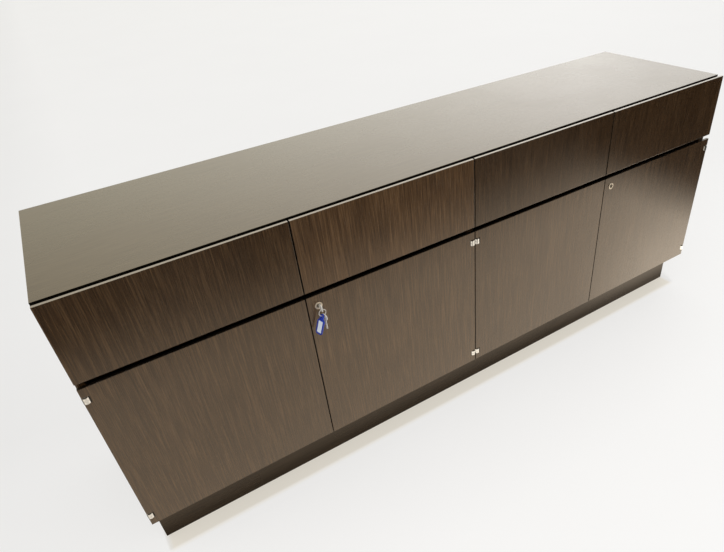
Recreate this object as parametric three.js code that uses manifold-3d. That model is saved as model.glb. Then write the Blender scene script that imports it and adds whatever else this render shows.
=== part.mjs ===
// Office credenza: a long low cabinet with four drawers over two double cupboards on a recessed plinth.
// Millimetres, +X to the right seen from the front, +Y towards the back, +Z up.
// Pieces are laid out from the front faces of the drawers and doors (y = 0) and the floor (z = 0).
// The whole group is then moved so that its origin lies under the middle of the object's box.

import * as THREE from 'three';
import { mergeVertices } from 'three/addons/utils/BufferGeometryUtils.js';
import Module from 'manifold-3d';

const wasm = await Module();
wasm.setup();

// Overall sizes
const WIDTH = 2000;
const DEPTH = 484; // from the front faces to the back edge of the top
const HEIGHT = 807;
const BAYS = 4;

// Heights up the front: plinth, doors, finger gap, drawers
const PLINTH_HEIGHT = 136;
const FINGER_GAP = 14;
const DRAWER_FRONT_HEIGHT = 194;

// Board thicknesses
const TOP_THICK = 22;
const SIDE_THICK = 19;
const BOTTOM_THICK = 19;
const DECK_THICK = 19;
const PARTITION_THICK = 19;
const DIVIDER_THICK = 19;
const SHELF_THICK = 18;
const BACK_THICK = 8;
const PLINTH_THICK = 18;
const FRONT_THICK = 18;

// Fits
const FIT_GAP = 0.3; // all round a piece that is let into another
const CUT_OVER = 1; // how far a cut starts outside the face that it goes through
const FRONT_STANDOFF = 2; // from the backs of the fronts to the carcass
const FRONT_REVEAL = 3; // between neighbouring fronts

// Carcass
const PLINTH_RECESS = 58; // behind the front faces
const PLINTH_END_INSET = 9;
const PLINTH_BACK_INSET = 30;
const REBATE_DEPTH = 10; // for the back panel, along Y
const REBATE_WIDTH = 8;
const SHELF_HOUSING = 6; // depth of the shelf's trenches
const SHELF_SETBACK = 24; // behind the carcass's front edges
const SHELF_RISE = 214; // shelf's underside above the cupboard floor

// Finger pulls: the bevelled rear edges of the fronts
const LIP = 8; // flat edge left in front of the bevel
const UPPER_BEVEL = 30; // steep, down from the upper edges of drawer fronts and doors
const LOWER_BEVEL = 10; // up from the lower edges of the drawer fronts

// Drawers
const DRAWER_TRAVEL_ROOM = 26; // behind a closed drawer
const DRAWER_SIDE_THICK = 14;
const DRAWER_SIDE_HEIGHT = 140;
const DRAWER_SIDE_GAP = 1; // between a drawer and the boards beside it
const DRAWER_RISE = 6.5; // drawer sides above the deck
const DRAWER_BOTTOM_THICK = 6;
const DRAWER_BOTTOM_RISE = 10; // drawer bottom above the sides' lower edges
const DRAWER_GROOVE = 6; // how deep the drawer bottom is let in
const DRAWER_SIDE_HOUSING = 6; // how deep the sides are let into the front
const DRAWER_BACK_HOUSING = 4; // how deep the back is let into the sides
const DRAWER_BACK_THICK = 14;
const DRAWER_BACK_INSET = 6; // from the sides' rear ends
const DRAWER_BACK_DROP = 8; // drawer back's upper edge below the sides' upper edges
const RUNNER_HEIGHT = 12;
const RUNNER_REACH = 7; // into the groove in the drawer side
const RUNNER_HOUSING = 4; // into the board that carries it
const RUNNER_RISE = 68; // runner's underside above the drawer sides' lower edges
const RUNNER_FRONT = 14; // behind the carcass's front edges
const RUNNER_REAR = 10; // in front of the back panel
const RUNNER_PLAY = 0.7; // under the runner, in the groove

// Door hinges: two knuckles on a pin, set in a notch in the door's edge
const KNUCKLE_RADIUS = 7.5;
const KNUCKLE_HEIGHT = 7.5;
const KNUCKLE_SPLIT = 0.4; // between the two knuckles
const PIN_RADIUS = 2.5;
const PIN_CLEARANCE = 0.3;
const HINGE_IN = 6.5; // pin from the door's edge
const HINGE_BACK = 4; // pin behind the front face
const HINGE_SETBACK = 32; // hinge's middle from the door's upper and lower edges
const NOTCH_ROOM = 1; // around the knuckles
const ARM_WIDTH = 6;
const PLATE_THICK = 2.5;
const PLATE_HEIGHT = 22;
const PLATE_WIDTH = 14; // at the ends of the cabinet
const CENTRE_PLATE_WIDTH = 18; // with two pins, on the partition
const TANG_THICK = 4;
const TANG_LENGTH = 16; // into the door beyond the notch

// Locks
const LOCK_IN = 27; // from the door's meeting edge
const LOCK_DROP = 30; // below the door's upper edge
const ROSETTE_RADIUS = 10;
const ROSETTE_THICK = 2;
const BARREL_RADIUS = 8;
const BARREL_LENGTH = 26; // behind the front face
const PLUG_RADIUS = 5.5;
const CAM_LENGTH = 36;
const CAM_WIDTH = 14;
const CAM_THICK = 2.5;
const CAM_STANDOFF = 1; // behind the barrel
const CAM_ROOM = 2.5; // in the mortise in the deck

// Keys: round bow, collar and notched blade
const KEY_THICK = 1.6;
const BOW_RADIUS = 10;
const BOW_HOLE_RADIUS = 3;
const BOW_HOLE_OUT = 4.5; // from the bow's middle towards its end
const COLLAR_LENGTH = 4;
const COLLAR_WIDTH = 9;
const BLADE_LENGTH = 26;
const BLADE_WIDTH = 6;
const BLADE_CUTS = 5;
const BLADE_PLAIN = 1.5; // uncut length of the blade, counted in cuts
const BLADE_CUT_DEPTH = 1.6;

// Ring, tag and spare key, hanging from the key
const RING_RADIUS = 9;
const RING_WIRE = 0.8;
const HANG_TURN = THREE.MathUtils.degToRad(20); // tag and spare key turned about the upright
const TAG_TILT = THREE.MathUtils.degToRad(20); // to the left
const SPARE_TILT = THREE.MathUtils.degToRad(-2); // to the right
const HANG_RISE = 1.3; // ring's wire above the middle of a hole that hangs on it
const HANG_PITCH = 5.2; // between tag and spare key along the ring
const TAG_WIDTH = 21;
const TAG_LENGTH = 40;
const TAG_THICK = 3;
const TAG_CORNER = 6;
const TAB_WIDTH = 11;
const TAB_LENGTH = 9;
const TAG_HOLE_RADIUS = 3.3;
const LABEL_MARGIN = 3.5;
const LABEL_DEPTH = 0.6;

// Roundness
const ROUND_SIDES = 32;
const SMALL_SIDES = 16;
const RING_SIDES = 8;
const MERGE_DISTANCE = 1e-4;

// Values worked out from the sizes above
const FULL_TURN = 2 * Math.PI;
const QUARTER_TURN = Math.PI / 2;
const BAY_WIDTH = WIDTH / BAYS;
const END = WIDTH / 2;
const carcassFront = FRONT_THICK + FRONT_STANDOFF;
const carcassBack = DEPTH - REBATE_DEPTH;
const sideInner = END - SIDE_THICK;
const doorBottom = PLINTH_HEIGHT;
const drawerFrontBottom = HEIGHT - DRAWER_FRONT_HEIGHT;
const doorTop = drawerFrontBottom - FINGER_GAP;
const frontWidth = BAY_WIDTH - FRONT_REVEAL;
const topUnder = HEIGHT - TOP_THICK;
const floorTop = PLINTH_HEIGHT + BOTTOM_THICK;
const deckMiddle = doorTop + FINGER_GAP / 2;
const deckLow = deckMiddle - DECK_THICK / 2;
const deckHigh = deckMiddle + DECK_THICK / 2;
const halfDepth = (carcassFront + carcassBack) / 2;
const drawerSideLow = deckHigh + DRAWER_RISE;
const drawerRear = carcassBack - DRAWER_TRAVEL_ROOM;
const runnerLow = drawerSideLow + RUNNER_RISE;
const hingeHeights = { lower: doorBottom + HINGE_SETBACK, upper: doorTop - HINGE_SETBACK };
const hingeHalf = KNUCKLE_HEIGHT + KNUCKLE_SPLIT / 2;
const lockHeight = doorTop - LOCK_DROP;
const camFront = BARREL_LENGTH + CAM_STANDOFF;
const bowMiddle = COLLAR_LENGTH + BOW_RADIUS - KEY_THICK; // bow's middle in front of the collar's seat
const bowHole = bowMiddle + BOW_HOLE_OUT;
const hangFront = ROSETTE_THICK + bowHole; // ring's plane in front of the door faces
const tagReach = (TAG_WIDTH * Math.cos(HANG_TURN) + TAG_THICK * Math.sin(HANG_TURN)) / 2;
const frontReach = hangFront + tagReach;

// Finishes
const finishes = {
  top: { color: 0x6b6152, roughness: 0.3, metalness: 0 },
  wenge: { color: 0x3e3228, roughness: 0.42, metalness: 0 },
  inside: { color: 0x4a3b2e, roughness: 0.55, metalness: 0 },
  plinth: { color: 0x2a231d, roughness: 0.5, metalness: 0 },
  drawerWood: { color: 0x8c6b4a, roughness: 0.6, metalness: 0 },
  chrome: { color: 0xd8d8d6, roughness: 0.15, metalness: 1 },
  nickel: { color: 0xc9c2b4, roughness: 0.25, metalness: 1 },
  tag: { color: 0x1f3fae, roughness: 0.35, metalness: 0 },
};

const credenza = new THREE.Group();
credenza.position.y = (frontReach - DEPTH) / 2;

// Solids: closed meshes for joining and cutting, and back to geometry
function solidOf(geometry) {
  const bare = geometry.clone();
  bare.deleteAttribute('normal');
  bare.deleteAttribute('uv');
  const merged = mergeVertices(bare, MERGE_DISTANCE);
  const vertProperties = new Float32Array(merged.attributes.position.array);
  const triVerts = new Uint32Array(merged.index.array);
  return new wasm.Manifold(new wasm.Mesh({ numProp: 3, vertProperties, triVerts }));
}

function geometryOf(solid) {
  const mesh = solid.getMesh();
  const geometry = new THREE.BufferGeometry();
  geometry.setAttribute('position', new THREE.BufferAttribute(mesh.vertProperties, mesh.numProp));
  geometry.setIndex(new THREE.BufferAttribute(mesh.triVerts, 1));
  geometry.computeVertexNormals();
  return geometry;
}

function shape(geometry, joined = [], cut = []) {
  let solid = solidOf(geometry);
  for (const piece of joined) solid = solid.add(solidOf(piece));
  for (const piece of cut) solid = solid.subtract(solidOf(piece));
  return geometryOf(solid);
}

// A box between two corners, each span written low to high
function block([x0, x1], [y0, y1], [z0, z1]) {
  const box = new THREE.BoxGeometry(x1 - x0, y1 - y0, z1 - z0);
  return box.translate((x0 + x1) / 2, (y0 + y1) / 2, (z0 + z1) / 2);
}

// A span made wider by the fitting gap at both ends
function eased([low, high]) {
  return [low - FIT_GAP, high + FIT_GAP];
}

// An outline drawn across Y and Z, extruded along X from its middle
function alongX(outline, length) {
  const options = { depth: length, bevelEnabled: false, curveSegments: SMALL_SIDES };
  const turned = new THREE.Matrix4().makeBasis(
    new THREE.Vector3(0, 1, 0),
    new THREE.Vector3(0, 0, 1),
    new THREE.Vector3(1, 0, 0),
  );
  return new THREE.ExtrudeGeometry(outline, options).translate(0, 0, -length / 2).applyMatrix4(turned);
}

// An outline drawn across X and Y, extruded upwards from z = 0
function upwards(outline, length) {
  const options = { depth: length, bevelEnabled: false, curveSegments: SMALL_SIDES };
  return new THREE.ExtrudeGeometry(outline, options);
}

function outlineOf(points) {
  return new THREE.Shape(points.map(([u, v]) => new THREE.Vector2(u, v)));
}

// A round rod that stands on its lower end, and one that lies along Y from front to back
function post(radius, [z0, z1], sides = ROUND_SIDES) {
  const rod = new THREE.CylinderGeometry(radius, radius, z1 - z0, sides);
  return rod.rotateX(QUARTER_TURN).translate(0, 0, (z0 + z1) / 2);
}

function bar(radius, [y0, y1], sides = ROUND_SIDES) {
  return new THREE.CylinderGeometry(radius, radius, y1 - y0, sides).translate(0, (y0 + y1) / 2, 0);
}

function add(group, name, geometry, finish) {
  const mesh = new THREE.Mesh(geometry, new THREE.MeshStandardMaterial(finishes[finish]));
  mesh.name = name;
  group.add(mesh);
  return mesh;
}

function groupAt(parent, x, y, z) {
  const group = new THREE.Group();
  group.position.set(x, y, z);
  parent.add(group);
  return group;
}

function bayCentre(index) {
  return (index - (BAYS - 1) / 2) * BAY_WIDTH;
}

// Runners: battens housed in the boards beside the drawers, side is -1 for a left face and 1 for a right one
const runnerProud = DRAWER_SIDE_GAP + RUNNER_REACH;
const runnerSpanY = [carcassFront + RUNNER_FRONT, carcassBack - RUNNER_REAR];
const runnerSpanZ = [runnerLow, runnerLow + RUNNER_HEIGHT];

function runner(faceX, side) {
  const ends = [faceX - side * RUNNER_HOUSING, faceX + side * runnerProud].sort((a, b) => a - b);
  return block(ends, runnerSpanY, runnerSpanZ);
}

// A trench across a board's face for the end of a shelf
const shelfLow = floorTop + SHELF_RISE;
const shelfFront = carcassFront + SHELF_SETBACK;

function shelfTrench(faceX, side) {
  const ends = [faceX + side * CUT_OVER, faceX - side * SHELF_HOUSING].sort((a, b) => a - b);
  const rise = eased([shelfLow, shelfLow + SHELF_THICK]);
  return block(ends, [shelfFront - FIT_GAP, carcassBack + CUT_OVER], rise);
}

// A shallow seat for a hinge plate in a board's front edge
function plateSeat(x, width, z) {
  const reach = width / 2 + FIT_GAP;
  const rise = PLATE_HEIGHT / 2 + FIT_GAP;
  const depth = [carcassFront - CUT_OVER, carcassFront + PLATE_THICK + FIT_GAP];
  return block([x - reach, x + reach], depth, [z - rise, z + rise]);
}

// Top, with a rebate under its back edge
const topOutline = outlineOf([
  [carcassFront, topUnder],
  [carcassBack, topUnder],
  [carcassBack, topUnder + REBATE_WIDTH],
  [DEPTH, topUnder + REBATE_WIDTH],
  [DEPTH, HEIGHT],
  [carcassFront, HEIGHT],
]);
add(credenza, 'top_panel', alongX(topOutline, WIDTH), 'top');

// End panels, rebated for the back, with a runner, a shelf trench and two hinge seats
const plateFromEnd = SIDE_THICK / 2;
for (const [side, label] of [[-1, 'left'], [1, 'right']]) {
  const outer = side * END;
  const inner = side * sideInner;
  const rebate = inner + side * REBATE_WIDTH;
  const corners = [
    [outer, carcassFront],
    [outer, DEPTH],
    [rebate, DEPTH],
    [rebate, carcassBack],
    [inner, carcassBack],
    [inner, carcassFront],
  ];
  const panel = upwards(outlineOf(corners), topUnder - PLINTH_HEIGHT).translate(0, 0, PLINTH_HEIGHT);
  const plateX = outer - side * plateFromEnd;
  const seats = Object.values(hingeHeights).map((z) => plateSeat(plateX, PLATE_WIDTH, z));
  const cuts = [shelfTrench(inner, -side), ...seats];
  add(credenza, `side_panel_${label}`, shape(panel, [runner(inner, -side)], cuts), 'wenge');
}

// Cupboard floor and back
add(
  credenza,
  'bottom_panel',
  block([-sideInner, sideInner], [carcassFront, carcassBack], [PLINTH_HEIGHT, floorTop]),
  'inside',
);
const backReach = sideInner + REBATE_WIDTH - FIT_GAP;
add(
  credenza,
  'back_panel',
  block(
    [-backReach, backReach],
    [carcassBack, carcassBack + BACK_THICK],
    [PLINTH_HEIGHT, topUnder + REBATE_WIDTH - FIT_GAP],
  ),
  'inside',
);

// Deck under the drawers: halved over the partition at its back, with mortises for the lock cams
const lockDoors = [{ label: 'left', bay: 1 }, { label: 'right', bay: 3 }];
const lockX = (bay) => bayCentre(bay) - frontWidth / 2 + LOCK_IN;
const camTip = Math.hypot(CAM_LENGTH, CAM_WIDTH / 2);
const camSweep = Math.sqrt(Math.max(camTip ** 2 - (deckLow - lockHeight) ** 2, 0));
const deckHalving = block(
  eased([-PARTITION_THICK / 2, PARTITION_THICK / 2]),
  [halfDepth, carcassBack + CUT_OVER],
  [deckLow - CUT_OVER, deckHigh + CUT_OVER],
);
const camMortises = lockDoors.map(({ bay }) => block(
  [lockX(bay) - CAM_WIDTH / 2 - CAM_ROOM, lockX(bay) + camSweep + CAM_ROOM],
  [camFront - CAM_ROOM, camFront + CAM_THICK + CAM_ROOM],
  [deckLow - CUT_OVER, lockHeight + camTip + CAM_ROOM],
));
const deck = block([-sideInner, sideInner], [carcassFront, carcassBack], [deckLow, deckHigh]);
add(credenza, 'drawer_deck', shape(deck, [], [deckHalving, ...camMortises]), 'inside');

// Centre partition: halved over the deck at its front
const partitionFace = PARTITION_THICK / 2;
const partition = block([-partitionFace, partitionFace], [carcassFront, carcassBack], [floorTop, topUnder]);
const partitionHalving = block(
  [-partitionFace - CUT_OVER, partitionFace + CUT_OVER],
  [carcassFront - CUT_OVER, halfDepth + FIT_GAP],
  eased([deckLow, deckHigh]),
);
const centreSeatWidth = PARTITION_THICK + 2 * CUT_OVER; // across the whole edge
const partitionSeats = Object.values(hingeHeights).map((z) => plateSeat(0, centreSeatWidth, z));
add(
  credenza,
  'centre_partition',
  shape(
    partition,
    [runner(-partitionFace, -1), runner(partitionFace, 1)],
    [partitionHalving, shelfTrench(-partitionFace, -1), shelfTrench(partitionFace, 1), ...partitionSeats],
  ),
  'inside',
);

// Dividers between the drawers of each pair
for (const [side, label] of [[-1, 'left'], [1, 'right']]) {
  const middle = side * BAY_WIDTH;
  const faces = [middle - DIVIDER_THICK / 2, middle + DIVIDER_THICK / 2];
  const divider = block(faces, [carcassFront, carcassBack], [deckHigh, topUnder]);
  const battens = [runner(faces[0], -1), runner(faces[1], 1)];
  add(credenza, `drawer_divider_${label}`, shape(divider, battens), 'inside');
}

// Shelves, housed in the sides and the partition
for (const [side, label] of [[-1, 'left'], [1, 'right']]) {
  const near = side * (partitionFace - SHELF_HOUSING + FIT_GAP);
  const far = side * (sideInner + SHELF_HOUSING - FIT_GAP);
  const ends = [near, far].sort((a, b) => a - b);
  const shelf = block(ends, [shelfFront, carcassBack], [shelfLow, shelfLow + SHELF_THICK]);
  add(credenza, `shelf_${label}`, shelf, 'inside');
}

// Plinth: a frame of boards on edge
function rectangle(x, y0, y1) {
  return [[-x, y0], [x, y0], [x, y1], [-x, y1]];
}
const plinthReach = END - PLINTH_END_INSET;
const plinthBack = DEPTH - PLINTH_BACK_INSET;
const plinthOutline = outlineOf(rectangle(plinthReach, PLINTH_RECESS, plinthBack));
const plinthHollow = rectangle(
  plinthReach - PLINTH_THICK,
  PLINTH_RECESS + PLINTH_THICK,
  plinthBack - PLINTH_THICK,
);
plinthOutline.holes.push(outlineOf(plinthHollow));
add(credenza, 'plinth_frame', upwards(plinthOutline, PLINTH_HEIGHT), 'plinth');

// Drawers: an overlay front with a bevelled finger pull above and below, on a grooved box
const bayFaces = [
  [-sideInner, -BAY_WIDTH - DIVIDER_THICK / 2],
  [-BAY_WIDTH + DIVIDER_THICK / 2, -partitionFace],
  [partitionFace, BAY_WIDTH - DIVIDER_THICK / 2],
  [BAY_WIDTH + DIVIDER_THICK / 2, sideInner],
];
const drawerSideHigh = drawerSideLow + DRAWER_SIDE_HEIGHT;
const drawerFloorLow = drawerSideLow + DRAWER_BOTTOM_RISE;
const drawerFloorHigh = drawerFloorLow + DRAWER_BOTTOM_THICK;
const drawerBackSpan = [
  drawerRear - DRAWER_BACK_INSET - DRAWER_BACK_THICK,
  drawerRear - DRAWER_BACK_INSET,
];
const floorGrooveZ = eased([drawerFloorLow, drawerFloorHigh]);

const drawerFrontOutline = outlineOf([
  [0, drawerFrontBottom],
  [LIP, drawerFrontBottom],
  [FRONT_THICK, drawerFrontBottom + LOWER_BEVEL],
  [FRONT_THICK, HEIGHT - UPPER_BEVEL],
  [LIP, HEIGHT],
  [0, HEIGHT],
]);

const drawerSideFront = FRONT_THICK - DRAWER_SIDE_HOUSING + FIT_GAP;
const drawerBackRise = [drawerFloorHigh, drawerSideHigh - DRAWER_BACK_DROP];

function drawerSide([x0, x1], outward) {
  const outer = outward < 0 ? x0 : x1;
  const inner = outward < 0 ? x1 : x0;
  const runnerGroove = block(
    [outer + outward * CUT_OVER, outer - outward * (RUNNER_REACH + FIT_GAP)].sort((a, b) => a - b),
    [drawerSideFront - CUT_OVER, drawerRear + CUT_OVER],
    [runnerLow - RUNNER_PLAY, runnerLow + RUNNER_HEIGHT + FIT_GAP],
  );
  const floorGroove = block(
    [inner - outward * CUT_OVER, inner + outward * DRAWER_GROOVE].sort((a, b) => a - b),
    [drawerSideFront - CUT_OVER, drawerRear + CUT_OVER],
    floorGrooveZ,
  );
  const backTrench = block(
    [inner - outward * CUT_OVER, inner + outward * DRAWER_BACK_HOUSING].sort((a, b) => a - b),
    eased(drawerBackSpan),
    eased(drawerBackRise),
  );
  const board = block([x0, x1], [drawerSideFront, drawerRear], [drawerSideLow, drawerSideHigh]);
  return shape(board, [], [runnerGroove, floorGroove, backTrench]);
}

for (let bay = 0; bay < BAYS; bay += 1) {
  const name = `drawer_${bay + 1}`;
  const outer = [bayFaces[bay][0] + DRAWER_SIDE_GAP, bayFaces[bay][1] - DRAWER_SIDE_GAP];
  const inner = [outer[0] + DRAWER_SIDE_THICK, outer[1] - DRAWER_SIDE_THICK];
  const floorEnds = [inner[0] - DRAWER_GROOVE + FIT_GAP, inner[1] + DRAWER_GROOVE - FIT_GAP];
  const frontGroove = block(
    eased(floorEnds),
    [FRONT_THICK - DRAWER_GROOVE, FRONT_THICK + CUT_OVER],
    floorGrooveZ,
  );
  const sideTrenches = [[outer[0], inner[0]], [inner[1], outer[1]]].map((ends) => block(
    eased(ends),
    [FRONT_THICK - DRAWER_SIDE_HOUSING, FRONT_THICK + CUT_OVER],
    eased([drawerSideLow, drawerSideHigh]),
  ));
  const front = alongX(drawerFrontOutline, frontWidth).translate(bayCentre(bay), 0, 0);
  add(credenza, `${name}_front`, shape(front, [], [frontGroove, ...sideTrenches]), 'wenge');
  add(credenza, `${name}_side_left`, drawerSide([outer[0], inner[0]], -1), 'drawerWood');
  add(credenza, `${name}_side_right`, drawerSide([inner[1], outer[1]], 1), 'drawerWood');
  const housed = DRAWER_BACK_HOUSING - FIT_GAP;
  const backEnds = [inner[0] - housed, inner[1] + housed];
  const back = block(backEnds, drawerBackSpan, drawerBackRise);
  add(credenza, `${name}_back`, back, 'drawerWood');
  const floorSpan = [FRONT_THICK - DRAWER_GROOVE + FIT_GAP, drawerRear];
  const floor = block(floorEnds, floorSpan, [drawerFloorLow, drawerFloorHigh]);
  add(credenza, `${name}_bottom`, floor, 'drawerWood');
}

// Hinges, drawn about the pin, with side -1 where the door is hinged at its left edge and 1 at its right
const doorHinges = [-1, 1, -1, 1];
const notchReach = KNUCKLE_RADIUS + NOTCH_ROOM; // from the pin into the door
const plateFront = carcassFront - HINGE_BACK;

function pinX(bay) {
  return bayCentre(bay) + doorHinges[bay] * (frontWidth / 2 - HINGE_IN);
}

// Lower knuckle with its pin, on an arm from the plate in the carcass
function knuckleArm() {
  const knuckle = post(KNUCKLE_RADIUS, [-hingeHalf, -KNUCKLE_SPLIT / 2]);
  const pin = post(PIN_RADIUS, [-hingeHalf / 2, hingeHalf]);
  const armReach = [0, plateFront + PLATE_THICK / 2];
  const arm = block([-ARM_WIDTH / 2, ARM_WIDTH / 2], armReach, [-hingeHalf, -KNUCKLE_SPLIT / 2]);
  return [knuckle, pin, arm];
}

function hingePlate(plateX, width, pins) {
  const depth = [plateFront, plateFront + PLATE_THICK];
  const reach = [plateX - width / 2, plateX + width / 2];
  const plate = block(reach, depth, [-PLATE_HEIGHT / 2, PLATE_HEIGHT / 2]);
  const arms = pins.flatMap((x) => knuckleArm().map((piece) => piece.translate(x, 0, 0)));
  return shape(plate, arms);
}

// Upper knuckle with the tang that is let into the door
function hingeLeaf(side) {
  const rise = [KNUCKLE_SPLIT / 2, hingeHalf];
  const tangEnds = [0, -side * (notchReach + TANG_LENGTH)].sort((a, b) => a - b);
  const tangSpan = [KNUCKLE_RADIUS - TANG_THICK, KNUCKLE_RADIUS];
  const bore = post(PIN_RADIUS + PIN_CLEARANCE, [0, hingeHalf + CUT_OVER]);
  return shape(post(KNUCKLE_RADIUS, rise), [block(tangEnds, tangSpan, rise)], [bore]);
}

const endPlateX = END - plateFromEnd;
for (const [level, z] of Object.entries(hingeHeights)) {
  for (const [bay, side, label] of [[0, -1, 'left'], [BAYS - 1, 1, 'right']]) {
    const group = groupAt(credenza, side * endPlateX, HINGE_BACK, z);
    const plate = hingePlate(0, PLATE_WIDTH, [pinX(bay) - side * endPlateX]);
    add(group, `hinge_plate_${label}_${level}`, plate, 'chrome');
  }
  const group = groupAt(credenza, 0, HINGE_BACK, z);
  const middleBay = BAYS / 2;
  const plate = hingePlate(0, CENTRE_PLATE_WIDTH, [pinX(middleBay - 1), pinX(middleBay)]);
  add(group, `hinge_plate_centre_${level}`, plate, 'chrome');
}

// Doors, notched for the hinges, mortised for their tangs and bored for the locks
const doorOutline = outlineOf([
  [0, doorBottom],
  [FRONT_THICK, doorBottom],
  [FRONT_THICK, doorTop - UPPER_BEVEL],
  [LIP, doorTop],
  [0, doorTop],
]);

function hingeCuts(bay, z) {
  const side = doorHinges[bay];
  const pin = pinX(bay);
  const notchEnds = [pin - side * notchReach, pin + side * (HINGE_IN + CUT_OVER)].sort((a, b) => a - b);
  const notchRise = [z - hingeHalf - NOTCH_ROOM, z + hingeHalf + NOTCH_ROOM];
  const tangMid = HINGE_BACK + KNUCKLE_RADIUS - TANG_THICK / 2;
  const mortiseReach = notchReach + TANG_LENGTH + FIT_GAP;
  const mortiseEnds = [pin, pin - side * mortiseReach].sort((a, b) => a - b);
  const mortiseSpan = eased([tangMid - TANG_THICK / 2, tangMid + TANG_THICK / 2]);
  const mortiseRise = eased([z + KNUCKLE_SPLIT / 2, z + hingeHalf]);
  return [
    block(notchEnds, [-CUT_OVER, FRONT_THICK + CUT_OVER], notchRise),
    block(mortiseEnds, mortiseSpan, mortiseRise),
  ];
}

for (let bay = 0; bay < BAYS; bay += 1) {
  const panel = alongX(doorOutline, frontWidth).translate(bayCentre(bay), 0, 0);
  const cuts = Object.values(hingeHeights).flatMap((z) => hingeCuts(bay, z));
  if (lockDoors.some((lock) => lock.bay === bay)) {
    const bore = bar(BARREL_RADIUS + FIT_GAP, [-CUT_OVER, FRONT_THICK + CUT_OVER]);
    cuts.push(bore.translate(lockX(bay), 0, lockHeight));
  }
  add(credenza, `door_${bay + 1}`, shape(panel, [], cuts), 'wenge');
  for (const [level, z] of Object.entries(hingeHeights)) {
    const group = groupAt(credenza, pinX(bay), HINGE_BACK, z);
    add(group, `hinge_leaf_${bay + 1}_${level}`, hingeLeaf(doorHinges[bay]), 'chrome');
  }
}

// Locks: a flanged housing through the door, and a plug that carries the cam behind it
const keyway = { width: KEY_THICK + 2 * FIT_GAP, height: BLADE_WIDTH + 2 * FIT_GAP };

function lockHousing() {
  const barrel = bar(BARREL_RADIUS, [-ROSETTE_THICK / 2, BARREL_LENGTH]);
  const rosette = bar(ROSETTE_RADIUS, [-ROSETTE_THICK, 0]);
  const bore = bar(PLUG_RADIUS + FIT_GAP, [-ROSETTE_THICK - CUT_OVER, BARREL_LENGTH + CUT_OVER]);
  return shape(barrel, [rosette], [bore]);
}

function lockCylinder() {
  const plug = bar(PLUG_RADIUS, [-ROSETTE_THICK, camFront + CAM_THICK / 2]);
  const camDepth = [camFront, camFront + CAM_THICK];
  const cam = block([0, CAM_LENGTH], camDepth, [-CAM_WIDTH / 2, CAM_WIDTH / 2]);
  const hub = bar(CAM_WIDTH / 2, camDepth);
  const slotReach = keyway.width / 2;
  const slotRise = keyway.height / 2;
  const slotDepth = [-ROSETTE_THICK - CUT_OVER, BLADE_LENGTH - ROSETTE_THICK + FIT_GAP];
  const slot = block([-slotReach, slotReach], slotDepth, [-slotRise, slotRise]);
  return shape(plug, [cam, hub], [slot]);
}

for (const { label, bay } of lockDoors) {
  const group = groupAt(credenza, lockX(bay), 0, lockHeight);
  add(group, `lock_housing_${label}`, lockHousing(), 'nickel');
  add(group, `lock_cylinder_${label}`, lockCylinder(), 'nickel');
}

// Keys, drawn with u along the blade from the collar's seat and v across it
function keyOutline() {
  const half = BLADE_WIDTH / 2;
  const neck = COLLAR_WIDTH / 2;
  const join = Math.asin(neck / BOW_RADIUS);
  const pitch = BLADE_LENGTH / (BLADE_CUTS + BLADE_PLAIN);
  const outline = new THREE.Shape();
  outline.moveTo(0, neck);
  outline.absarc(-bowMiddle, 0, BOW_RADIUS, join, FULL_TURN - join, false);
  outline.lineTo(0, -neck);
  outline.lineTo(0, -half);
  outline.lineTo(BLADE_LENGTH - half, -half);
  outline.lineTo(BLADE_LENGTH, 0);
  outline.lineTo(BLADE_LENGTH - half, half);
  for (let cut = BLADE_CUTS; cut > 0; cut -= 1) {
    const middle = cut * pitch;
    outline.lineTo(middle + pitch / 2, half);
    outline.lineTo(middle, half - BLADE_CUT_DEPTH * (1 + (cut % 2)) / 2);
    outline.lineTo(middle - pitch / 2, half);
  }
  outline.lineTo(0, half);
  const hole = new THREE.Path();
  hole.absarc(-bowHole, 0, BOW_HOLE_RADIUS, 0, FULL_TURN, true);
  outline.holes.push(hole);
  return outline;
}

const keyBlank = alongX(keyOutline(), KEY_THICK);
const leftLock = groupAt(credenza, lockX(lockDoors[0].bay), -ROSETTE_THICK, lockHeight);
add(leftLock, 'key', keyBlank.clone(), 'nickel');

// Ring in the bow's hole, hanging flat to the door
const ringDrop = BOW_HOLE_RADIUS - RING_WIRE - FIT_GAP;
const ringGroup = groupAt(leftLock, 0, -bowHole, -ringDrop - RING_RADIUS);
const ringGeometry = new THREE.TorusGeometry(RING_RADIUS, RING_WIRE, RING_SIDES, ROUND_SIDES);
add(ringGroup, 'key_ring', ringGeometry.rotateX(QUARTER_TURN), 'nickel');

// Tag: a plate with a rounded outline, a holed tab above and a shallow panel for its label
function tagOutline() {
  const half = TAG_WIDTH / 2;
  const tab = TAB_WIDTH / 2;
  const low = -TAB_LENGTH - TAG_LENGTH;
  const outline = new THREE.Shape();
  outline.moveTo(half, -TAB_LENGTH - TAG_CORNER);
  outline.absarc(half - TAG_CORNER, -TAB_LENGTH - TAG_CORNER, TAG_CORNER, 0, QUARTER_TURN, false);
  outline.lineTo(tab, -TAB_LENGTH);
  outline.absarc(0, 0, tab, 0, Math.PI, false);
  outline.lineTo(-tab, -TAB_LENGTH);
  outline.absarc(TAG_CORNER - half, -TAB_LENGTH - TAG_CORNER, TAG_CORNER, QUARTER_TURN, Math.PI, false);
  outline.absarc(TAG_CORNER - half, low + TAG_CORNER, TAG_CORNER, Math.PI, Math.PI + QUARTER_TURN, false);
  outline.absarc(half - TAG_CORNER, low + TAG_CORNER, TAG_CORNER, Math.PI + QUARTER_TURN, FULL_TURN, false);
  const hole = new THREE.Path();
  hole.absarc(0, 0, TAG_HOLE_RADIUS, 0, FULL_TURN, true);
  outline.holes.push(hole);
  return outline;
}

// Pieces hang side by side along the ring, turned about the upright and splayed
const hangOffset = HANG_PITCH / 2;

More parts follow.
